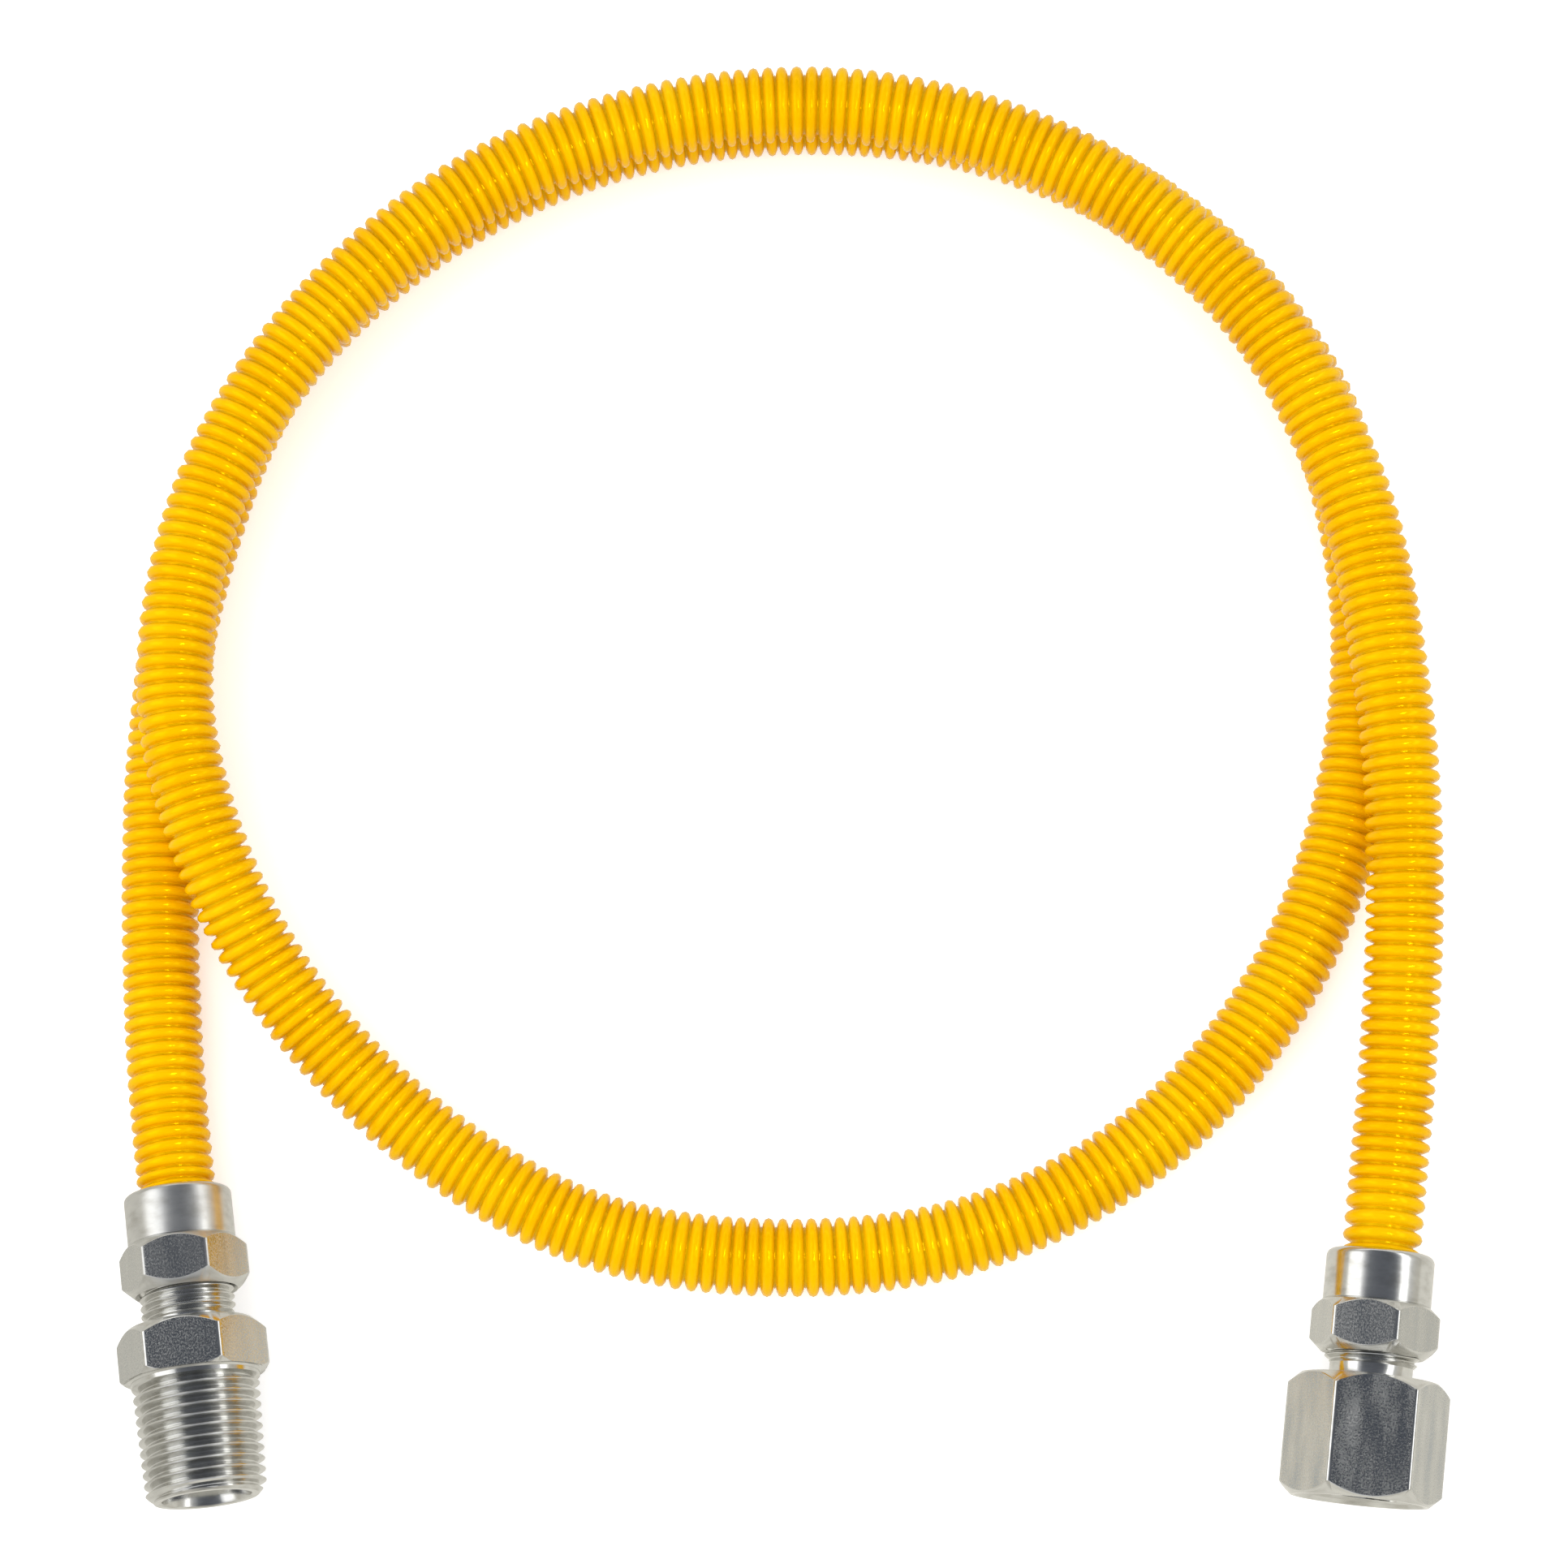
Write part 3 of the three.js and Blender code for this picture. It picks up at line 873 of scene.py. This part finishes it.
def spigot_rows(thread_end, hex_start):
    """Rows of an adapter's end inside the nut: bore, nose, flare thread, run-out and neck."""
    *_, nose = flare_cones()
    tip = nose + ADAPTER_BORE + JOINT_GAP

    def limit(height, radius):
        return min(radius, height - nose, ADAPTER_NECK + thread_end - height)

    rows = [ring(ADAPTER_BORE, tip), ring(ADAPTER_BORE + JOINT_GAP, tip)]
    rows += thread(
        FLARE_THREAD_RADIUS,
        FLARE_THREAD_PITCH,
        FLARE_THREAD_DEPTH,
        nose + FLARE_THREAD_RADIUS - FLARE_THREAD_DEPTH,
        thread_end,
        limit=limit,
    )
    rows += [ring(ADAPTER_NECK, thread_end), ring(ADAPTER_NECK, hex_start - NECK_FILLET)]
    rows += [ring(ADAPTER_NECK + NECK_FILLET_STEP, hex_start - NECK_FILLET_STEP)]
    rows += [ring(ADAPTER_NECK + NECK_FILLET, hex_start)]
    return rows


def male_rows(settings):
    """Rows of the male adapter: spigot, hexagon, neck, pipe thread, flared mouth and bore."""
    hex_start = NUT_LENGTH + MALE_EXPOSED
    hex_end = hex_start + MALE_HEX_LENGTH
    end = hex_end + MALE_PIPE_LENGTH
    start = hex_end + MALE_NECK
    rows = spigot_rows(hex_start - MALE_THREAD_SHOULDER, hex_start)
    rows += hexagon(MALE_FLATS, hex_start, hex_end, MALE_CHAMFERS, settings)
    neck = PIPE_THREAD_RADIUS + MALE_NECK_STEP
    rows += [ring(neck + MALE_NECK_RELIEF, hex_end), ring(neck, hex_end + MALE_NECK_RELIEF)]
    rows += [ring(neck, start - MALE_NECK_RELIEF)]

    def limit(height, radius):
        return min(radius, MALE_END_RING + end - height)

    rows += thread(
        PIPE_THREAD_RADIUS, PIPE_THREAD_PITCH, PIPE_THREAD_DEPTH, start, end, PIPE_TAPER, limit
    )
    rows += [ring(MALE_END_RING, end), ring(MALE_MOUTH + MALE_MOUTH_EDGE, end)]
    rows += [ring(MALE_MOUTH, end - MALE_MOUTH_EDGE)]
    rows += [ring(MALE_BORE, end - MALE_MOUTH_DEPTH), ring(MALE_BORE, end - MALE_BORE_DEPTH)]
    rows += [ring(ADAPTER_BORE, end - MALE_BORE_DEPTH - (MALE_BORE - ADAPTER_BORE))]
    return rows


def female_rows(settings):
    """Rows of the female adapter: spigot, hexagon, threaded socket and bore."""
    hex_start = NUT_LENGTH + FEMALE_EXPOSED
    end = hex_start + FEMALE_HEX_LENGTH
    rows = spigot_rows(NUT_LENGTH + FEMALE_RUN_OUT, hex_start)
    rows += hexagon(FEMALE_FLATS, hex_start, end, FEMALE_CHAMFERS, settings)
    floor_radius = SOCKET_RADIUS - SOCKET_DEPTH * PIPE_TAPER
    thread_end = end - SOCKET_DEPTH + PIPE_THREAD_PITCH
    rows += [ring(SOCKET_RADIUS + SOCKET_MOUTH, end)]

    def chamfer(height, radius):
        return max(radius, SOCKET_RADIUS - (end - SOCKET_MOUTH - height))

    rows += thread(
        SOCKET_RADIUS + JOINT_GAP,
        PIPE_THREAD_PITCH,
        PIPE_THREAD_DEPTH,
        end - SOCKET_MOUTH,
        thread_end,
        taper=-PIPE_TAPER,
        limit=chamfer,
    )
    rows += [ring(floor_radius, thread_end), ring(floor_radius, end - SOCKET_DEPTH)]
    rows += [ring(ADAPTER_BORE, end - SOCKET_DEPTH - (floor_radius - ADAPTER_BORE) / 2)]
    return rows


def make_fitting(name, rows, side, piece, node, body, skin, flats):
    """Makes a fitting with the materials of its turned skin and its flats, in place of its CAD node."""
    obj = turned_object(name, rows, fitting_matrix(side, piece), skin)
    obj.data.materials.append(flats)
    shade(obj, FITTING_SHARP)
    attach(obj, body)
    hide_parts(node)
    return obj


# A face is on a flat if its middle is further from the axis than this share of the width across the
# flats, its normal leans along the axis by less than FLAT_LEAN, and it turns from the flat's own
# direction by less than FLAT_TURN degrees
FLAT_REACH = 0.46
FLAT_LEAN = 0.1
FLAT_TURN = 3


def mark_flats(obj, side, piece, flats, low, high):
    """Gives a hexagon's six flats the second material. The round corners keep the first."""
    back = fitting_matrix(side, piece).inverted()
    turn = back.to_3x3()
    for face in obj.data.polygons:
        centre = back @ face.center
        normal = turn @ face.normal
        off = math.degrees(math.atan2(normal.y, normal.x)) % 60 - 30
        outside = math.hypot(centre.x, centre.y) > flats * FLAT_REACH
        if low < centre.z < high and outside and abs(normal.z) < FLAT_LEAN and abs(off) < FLAT_TURN:
            face.material_index = 1


class GASHOSE_OT_nuts(bpy.types.Operator):
    """The flare nut at each end: a long round skirt and a hexagon."""

    bl_idname = "gas_hose.nuts"
    bl_label = "Flare nuts"

    def execute(self, context):
        settings = context.scene.gas_hose_fittings
        # The male nut is brushed after turning, which leaves it duller
        skins = {
            "male": turned_steel("brushed_bright_zinc_nut", settings.plating, lowest=0.27, highest=0.42),
            "female": turned_steel("turned_bright_zinc_nut", settings.plating, lowest=0.14, highest=0.26),
        }
        flats = drawn_steel(
            "drawn_bright_zinc_nut", settings.bar, frost=0.38, streaks=0.15, sparkle=0.13
        )
        for side, skin in skins.items():
            nut = make_fitting(
                f"{side}_flare_nut",
                nut_rows(settings, SKIRT_ROUNDINGS[side]),
                side,
                "nut",
                f"{side}_end_nut",
                f"{side}_nut",
                skin,
                flats,
            )
            mark_flats(nut, side, "nut", NUT_FLATS, NUT_SKIRT_LENGTH, NUT_LENGTH)
        return {"FINISHED"}


class GASHOSE_OT_male_adapter(bpy.types.Operator):
    """The adapter with the male taper pipe thread."""

    bl_idname = "gas_hose.male_adapter"
    bl_label = "Male adapter"

    def execute(self, context):
        settings = context.scene.gas_hose_fittings
        skin = turned_steel(
            "turned_bright_zinc_male", settings.plating, lowest=0.12, highest=0.25, bump=0.03
        )
        flats = drawn_steel(
            "drawn_bright_zinc_male", settings.bar, frost=0.2, streaks=0.1, sparkle=0.2
        )
        adapter = make_fitting(
            "male_pipe_adapter",
            male_rows(settings),
            "male",
            "adapter",
            "male_adapter",
            "male_fitting",
            skin,
            flats,
        )
        low = NUT_LENGTH + MALE_EXPOSED
        mark_flats(adapter, "male", "adapter", MALE_FLATS, low, low + MALE_HEX_LENGTH)
        return {"FINISHED"}


class GASHOSE_OT_female_adapter(bpy.types.Operator):
    """The adapter with the female pipe socket."""

    bl_idname = "gas_hose.female_adapter"
    bl_label = "Female adapter"

    def execute(self, context):
        settings = context.scene.gas_hose_fittings
        skin = turned_steel(
            "turned_bright_zinc_female", settings.plating, lowest=0.09, highest=0.2, bump=0.03
        )
        flats = drawn_steel(
            "drawn_bright_zinc_female", settings.bar, frost=0.52, streaks=0.35, sparkle=0.26
        )
        adapter = make_fitting(
            "female_pipe_adapter",
            female_rows(settings),
            "female",
            "adapter",
            "female_adapter",
            "female_fitting",
            skin,
            flats,
        )
        low = NUT_LENGTH + FEMALE_EXPOSED
        mark_flats(adapter, "female", "adapter", FEMALE_FLATS, low, low + FEMALE_HEX_LENGTH)
        return {"FINISHED"}


class GASHOSE_OT_declare(bpy.types.Operator):
    """Works out points along the coated hose's centreline and the rear of the male nut, but keeps
    neither.
    """

    bl_idname = "gas_hose.declare"
    bl_label = "Declare the hose"

    def execute(self, context):
        line = centreline(COATING_IN_NUT)
        exit_point, _ = end_frame("male")
        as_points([tuple(point) for point in line[::DECLARED_STEP]] + [tuple(line[-1])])
        return {"FINISHED"}


# Stage


# Each softbox's place and size in metres, its power in watts, and whether glossy surfaces mirror it
SOFTBOXES = {
    "overhead_softbox": ((-0.25, -0.2, 1.2), (1.0, 1.0), 6.2, False),
    "left_softbox": ((-0.6, 0, 0.44), (0.7, 0.48), 1.05, True),
    "right_strip": ((0.52, 0, 0.37), (0.9, 0.17), 0.85, True),
    "front_softbox": ((0, -0.8, 0.68), (1.4, 0.32), 0.8, True),
    "back_softbox": ((0, 0.95, 0.36), (1.4, 0.2), 0.7, True),
    "glint_softbox": ((0.35, -0.12, 0.85), (0.4, 0.2), 2.6, True),
}


def softbox(name):
    """One of SOFTBOXES, a rectangular area light that faces the middle of the floor."""
    place, size, power, mirrored = SOFTBOXES[name]
    light = bpy.data.lights.new(name, "AREA")
    light.shape = "RECTANGLE"
    light.size, light.size_y = size
    light.energy = power
    obj = bpy.data.objects.new(name, light)
    obj.location = place
    obj.rotation_euler = (-Vector(place)).to_track_quat("-Z", "Y").to_euler()
    obj.visible_glossy = mirrored
    bpy.context.scene.collection.objects.link(obj)
    return obj


# Strength of the world for matt surfaces
EVEN_LIGHT = 0.62

# What a mirror sees overhead, from the left horizon through the zenith to the right one: degrees from
# upright, and the brightness as a colour, in which white stands for MIRRORED_STRENGTH
MIRRORED_STRENGTH = 1.5
MIRRORED_ROOM = [
    (-90, "#ACAAA2"),
    (-78, "#BCBBB6"),
    (-62, "#CACACA"),
    (-42, "#BEBEC1"),
    (-36, "#96989C"),
    (-30, "#5C5F65"),
    (-10, "#50535A"),
    (14, "#4E5158"),
    (30, "#5A5D63"),
    (38, "#8E9092"),
    (50, "#A8A8AA"),
    (64, "#B2B2B2"),
    (80, "#ACABA6"),
    (90, "#AAA8A0"),
]


# What a mirror sees at the horizon, which the room overhead takes over from between two heights, given
# as the upward part of the direction
MIRRORED_HORIZON = "#ACA9A0"
HORIZON_HEIGHTS = {"From Min": 0.1, "From Max": 0.5}


def studio_world():
    """Even white light on matt surfaces. Metal sees a dark ceiling between two long bright banks that
    run along Y, and a pale room near the horizon."""
    world = bpy.data.worlds.new("studio_room")
    bpy.context.scene.world = world
    world.use_nodes = True
    tree = world.node_tree
    tree.nodes.clear()
    path = add_node(tree, "ShaderNodeLightPath")
    direction = add_node(tree, "ShaderNodeTexCoord").outputs["Generated"]
    parts = add_node(tree, "ShaderNodeSeparateXYZ", {}, Vector=direction)
    slant = add_node(
        tree,
        "ShaderNodeMath",
        {"operation": "ARCTAN2"},
        i0=parts.outputs["X"],
        i1=parts.outputs["Z"],
    )
    across = add_node(
        tree,
        "ShaderNodeMapRange",
        {"From Min": -math.pi / 2, "From Max": math.pi / 2},
        Value=slant.outputs["Value"],
    )
    stops = [((angle + 90) / 180, code) for angle, code in MIRRORED_ROOM]
    banks = add_node(tree, "ShaderNodeValToRGB", {"stops": stops}, Fac=across.outputs["Result"])
    height = add_node(tree, "ShaderNodeMapRange", HORIZON_HEIGHTS, Value=parts.outputs["Z"])
    room = add_node(
        tree,
        "ShaderNodeMixRGB",
        {"Color1": linear(MIRRORED_HORIZON)},
        Fac=height.outputs["Result"],
        Color2=banks.outputs["Color"],
    )
    white = linear("#FFFFFF")
    even = add_node(tree, "ShaderNodeBackground", {"Color": white, "Strength": EVEN_LIGHT})
    seen = add_node(tree, "ShaderNodeBackground", {"Color": white, "Strength": 1.0})
    glossy = add_node(
        tree, "ShaderNodeBackground", {"Strength": MIRRORED_STRENGTH}, Color=room.outputs["Color"]
    )
    first = add_node(
        tree,
        "ShaderNodeMixShader",
        {},
        i0=path.outputs["Is Glossy Ray"],
        i1=even.outputs["Background"],
        i2=glossy.outputs["Background"],
    )
    second = add_node(
        tree,
        "ShaderNodeMixShader",
        {},
        i0=path.outputs["Is Camera Ray"],
        i1=first.outputs["Shader"],
        i2=seen.outputs["Background"],
    )
    add_node(tree, "ShaderNodeOutputWorld", {}, Surface=second.outputs["Shader"])


# The floor's own glow in the camera's eye, and the painted reflection that metal mirrors of it, a glow
# that only mirrors see: dimmer left of the fittings
FLOOR_GLOW = 0.42
FLOOR_MIRRORED = "#DCD9CE"
FLOOR_SIDES = {"From Min": -0.15, "From Max": -0.06, "To Min": 0.8, "To Max": 1.05}
FLOOR_HALF = 3.0
FLOOR_BELOW = 0.2 * MM


def floor_material(code):
    """Matt white laminate, with a faint cloud 15 mm wide. Seen straight it is lit up to white. What metal
    mirrors of it is a painted reflection: a warmer white glow over a dark matt floor, seen only in
    mirrors."""
    material, tree = new_material("matt_white_laminate")
    place = add_node(tree, "ShaderNodeTexCoord").outputs["Object"]
    cloud = add_node(tree, "ShaderNodeTexNoise", {"Scale": 60, "Detail": 2}, Vector=place).outputs["Fac"]
    tint = add_node(tree, "ShaderNodeValToRGB", {"stops": [(0.3, "#F6F6F6"), (0.7, code)]}, Fac=cloud)
    matt = add_node(tree, "ShaderNodeBsdfDiffuse", {}, Color=tint.outputs["Color"])
    shaded = add_node(tree, "ShaderNodeBsdfDiffuse", {"Color": linear("#5A5A5C")})
    side = add_node(tree, "ShaderNodeSeparateXYZ", {}, Vector=place).outputs["X"]
    brightness = add_node(tree, "ShaderNodeMapRange", FLOOR_SIDES, Value=side).outputs["Result"]
    # Painted reflection: a glow that only mirrors see, dimmer left of the fittings
    lit = add_node(
        tree, "ShaderNodeEmission", {"Color": linear(FLOOR_MIRRORED)}, Strength=brightness
    )
    painted_floor_reflection = add_node(
        tree, "ShaderNodeAddShader", {}, i0=shaded.outputs["BSDF"], i1=lit.outputs["Emission"]
    )
    glow = add_node(tree, "ShaderNodeEmission", {"Color": linear("#FFFFFF"), "Strength": FLOOR_GLOW})
    both = add_node(
        tree, "ShaderNodeAddShader", {}, i0=matt.outputs["BSDF"], i1=glow.outputs["Emission"]
    )
    path = add_node(tree, "ShaderNodeLightPath")
    bounced = add_node(
        tree,
        "ShaderNodeMixShader",
        {},
        i0=path.outputs["Is Glossy Ray"],
        i1=matt.outputs["BSDF"],
        i2=painted_floor_reflection.outputs["Shader"],
    )
    mixed = add_node(
        tree,
        "ShaderNodeMixShader",
        {},
        i0=path.outputs["Is Camera Ray"],
        i1=bounced.outputs["Shader"],
        i2=both.outputs["Shader"],
    )
    add_node(tree, "ShaderNodeOutputMaterial", {}, Surface=mixed.outputs["Shader"])
    return material


class GASHOSE_OT_stage(bpy.types.Operator):
    """Camera, floor, softboxes and room."""

    bl_idname = "gas_hose.stage"
    bl_label = "Stage"

    def execute(self, context):
        settings = context.scene.gas_hose_stage
        camera = bpy.data.cameras.new("view")
        camera.lens = settings.lens
        camera.sensor_width = 36
        camera.clip_start, camera.clip_end = 0.01, 50
        obj = bpy.data.objects.new("view", camera)
        rise = math.radians(settings.elevation)
        back = Vector((0, -math.cos(rise), math.sin(rise)))
        obj.location = Vector(settings.target) + back * settings.distance
        obj.rotation_mode = "QUATERNION"
        obj.rotation_quaternion = (-back).to_track_quat("-Z", "Y")
        context.scene.collection.objects.link(obj)
        context.scene.camera = obj

        mesh = bpy.data.meshes.new("floor")
        corners = [(x * FLOOR_HALF, y * FLOOR_HALF, 0) for x, y in ((-1, -1), (1, -1), (1, 1), (-1, 1))]
        mesh.from_pydata(corners, [], [(0, 1, 2, 3)])
        mesh.materials.append(floor_material(settings.floor))
        floor = bpy.data.objects.new("floor", mesh)
        floor.location.z = -FLOOR_BELOW
        context.scene.collection.objects.link(floor)

        studio_world()
        for name in ("overhead_softbox", "left_softbox", "right_strip", "front_softbox", "back_softbox"):
            softbox(name)
        context.scene.view_settings.view_transform = "Standard"
        return {"FINISHED"}


class GASHOSE_OT_glints(bpy.types.Operator):
    """A small softbox that gives the glints on the hose's beads, and no other light."""

    bl_idname = "gas_hose.glints"
    bl_label = "Glints on the hose"

    def execute(self, context):
        lamp = softbox("glint_softbox")
        hose_only = bpy.data.collections.new("hose_only")
        hose_only.objects.link(bpy.data.objects["coating_skin"])
        lamp.light_linking.receiver_collection = hose_only
        lamp.visible_diffuse = False
        return {"FINISHED"}


class GASHOSE_PT_panel(bpy.types.Panel):
    """Lists the hose's operators and settings."""

    bl_label = "Gas Hose"
    bl_idname = "GASHOSE_PT_panel"
    bl_space_type = "VIEW_3D"
    bl_region_type = "UI"
    bl_category = "Gas Hose"

    def draw(self, context):
        scene = context.scene
        for settings in (scene.gas_hose, scene.gas_hose_fittings, scene.gas_hose_stage):
            box = self.layout.box()
            for name in settings.__annotations__:
                box.prop(settings, name)
        for operator in OPERATORS:
            self.layout.operator(operator.bl_idname)


OPERATORS = [
    GASHOSE_OT_stage,
    GASHOSE_OT_coating,
    GASHOSE_OT_glints,
    GASHOSE_OT_tube,
    GASHOSE_OT_nuts,
    GASHOSE_OT_male_adapter,
    GASHOSE_OT_female_adapter,
    GASHOSE_OT_declare,
]
CLASSES = [HoseSettings, FittingSettings, StageSettings, *OPERATORS, GASHOSE_PT_panel]


def register():
    for cls in CLASSES:
        bpy.utils.register_class(cls)
    bpy.types.Scene.gas_hose = PointerProperty(type=HoseSettings)
    bpy.types.Scene.gas_hose_fittings = PointerProperty(type=FittingSettings)
    bpy.types.Scene.gas_hose_stage = PointerProperty(type=StageSettings)


def unregister():
    del bpy.types.Scene.gas_hose
    del bpy.types.Scene.gas_hose_fittings
    del bpy.types.Scene.gas_hose_stage
    for cls in reversed(CLASSES):
        bpy.utils.unregister_class(cls)


def main():
    register()
    bpy.ops.gas_hose.stage()
    bpy.ops.gas_hose.coating()
    bpy.ops.gas_hose.glints()
    bpy.ops.gas_hose.tube()
    bpy.ops.gas_hose.nuts()
    bpy.ops.gas_hose.male_adapter()
    bpy.ops.gas_hose.female_adapter()
    bpy.ops.gas_hose.declare()


if __name__ == "__main__":
    main()
